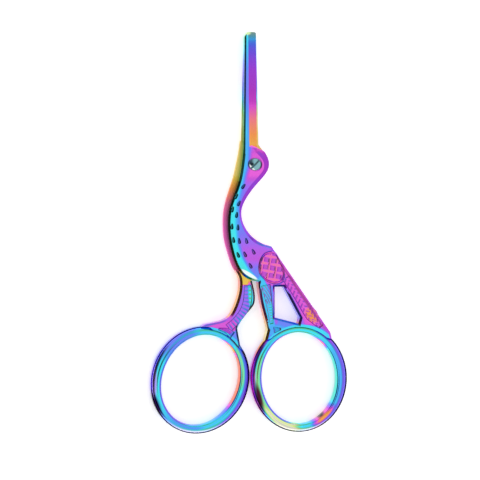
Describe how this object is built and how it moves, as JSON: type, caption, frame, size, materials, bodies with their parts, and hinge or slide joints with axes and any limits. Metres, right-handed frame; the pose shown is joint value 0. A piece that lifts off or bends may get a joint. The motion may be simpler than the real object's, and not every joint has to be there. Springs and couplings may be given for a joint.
{
  "type": "embroidery scissors",
  "caption": "Small stork-shaped embroidery scissors with beak blades, a screw pivot for the eye and oval finger bows.",
  "frame": {"origin": "where the pivot screw's axis meets the back face, on which the scissors lie", "axes": "+X to the right as seen from the front face, +Y towards the tip of the beak, +Z out of the front face"},
  "size_m": [0.0572, 0.1143, 0.0047],
  "materials": {
    "rainbow_steel": "polished forging with a rainbow titanium vapour coating",
    "bright_steel": "turned and polished, uncoated"
  },
  "bodies": {
    "stork": {"stork_half": "rainbow_steel"},
    "leg": {"leg_half": "rainbow_steel", "pivot_screw": "bright_steel"}
  },
  "joints": [
    {"name": "blade_pivot", "type": "hinge", "parent": "stork", "child": "leg", "pos_m": [0, 0, 0.0022], "axis": [0, 0, -1], "range_deg": [0, 100]}
  ]
}
